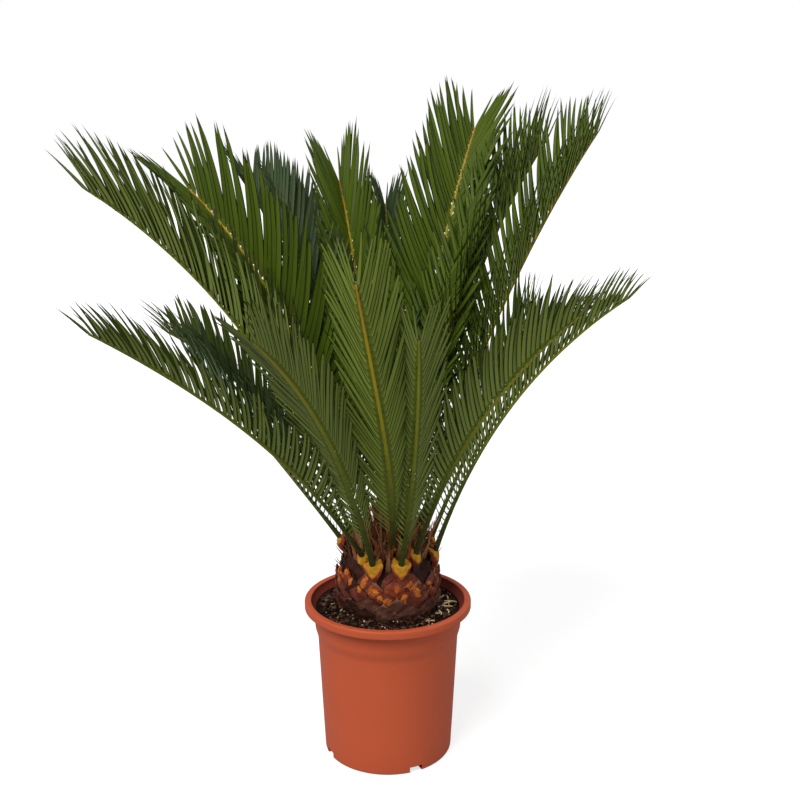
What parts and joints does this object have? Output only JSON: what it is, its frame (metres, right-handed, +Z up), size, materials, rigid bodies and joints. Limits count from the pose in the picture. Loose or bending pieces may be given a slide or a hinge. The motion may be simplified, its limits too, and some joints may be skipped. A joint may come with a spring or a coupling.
{
  "type": "potted sago palm",
  "caption": "Young sago palm with a squat scaly trunk and a rosette of stiff arching fronds, in a round terracotta-coloured plastic nursery pot filled with soil",
  "frame": {"origin": "centre of the pot's flat underside, where it stands", "axes": "+Z up; the side that shows in the picture faces -Y, +X to its right"},
  "size_m": [0.7798, 0.8931, 0.9619],
  "materials": {
    "pot_plastic": "satin terracotta-coloured plastic",
    "potting_soil": "loose dark potting soil",
    "trunk_bark": "overlapping maroon-brown leaf bases",
    "tuft_husk": "dry brown scale leaves",
    "frond_leaf": "stiff glossy green leaflets"
  },
  "bodies": {
    "root": {"pot": "pot_plastic", "soil": "potting_soil", "trunk": "trunk_bark", "tuft": "tuft_husk", "frond_01": "frond_leaf", "frond_02": "frond_leaf", "frond_03": "frond_leaf", "frond_04": "frond_leaf", "frond_05": "frond_leaf", "frond_06": "frond_leaf", "frond_07": "frond_leaf", "frond_08": "frond_leaf", "frond_09": "frond_leaf", "frond_10": "frond_leaf", "frond_11": "frond_leaf", "frond_12": "frond_leaf", "frond_13": "frond_leaf", "frond_14": "frond_leaf", "frond_15": "frond_leaf", "frond_16": "frond_leaf", "frond_17": "frond_leaf", "frond_18": "frond_leaf", "frond_19": "frond_leaf", "frond_20": "frond_leaf", "frond_21": "frond_leaf"}
  },
  "joints": []
}
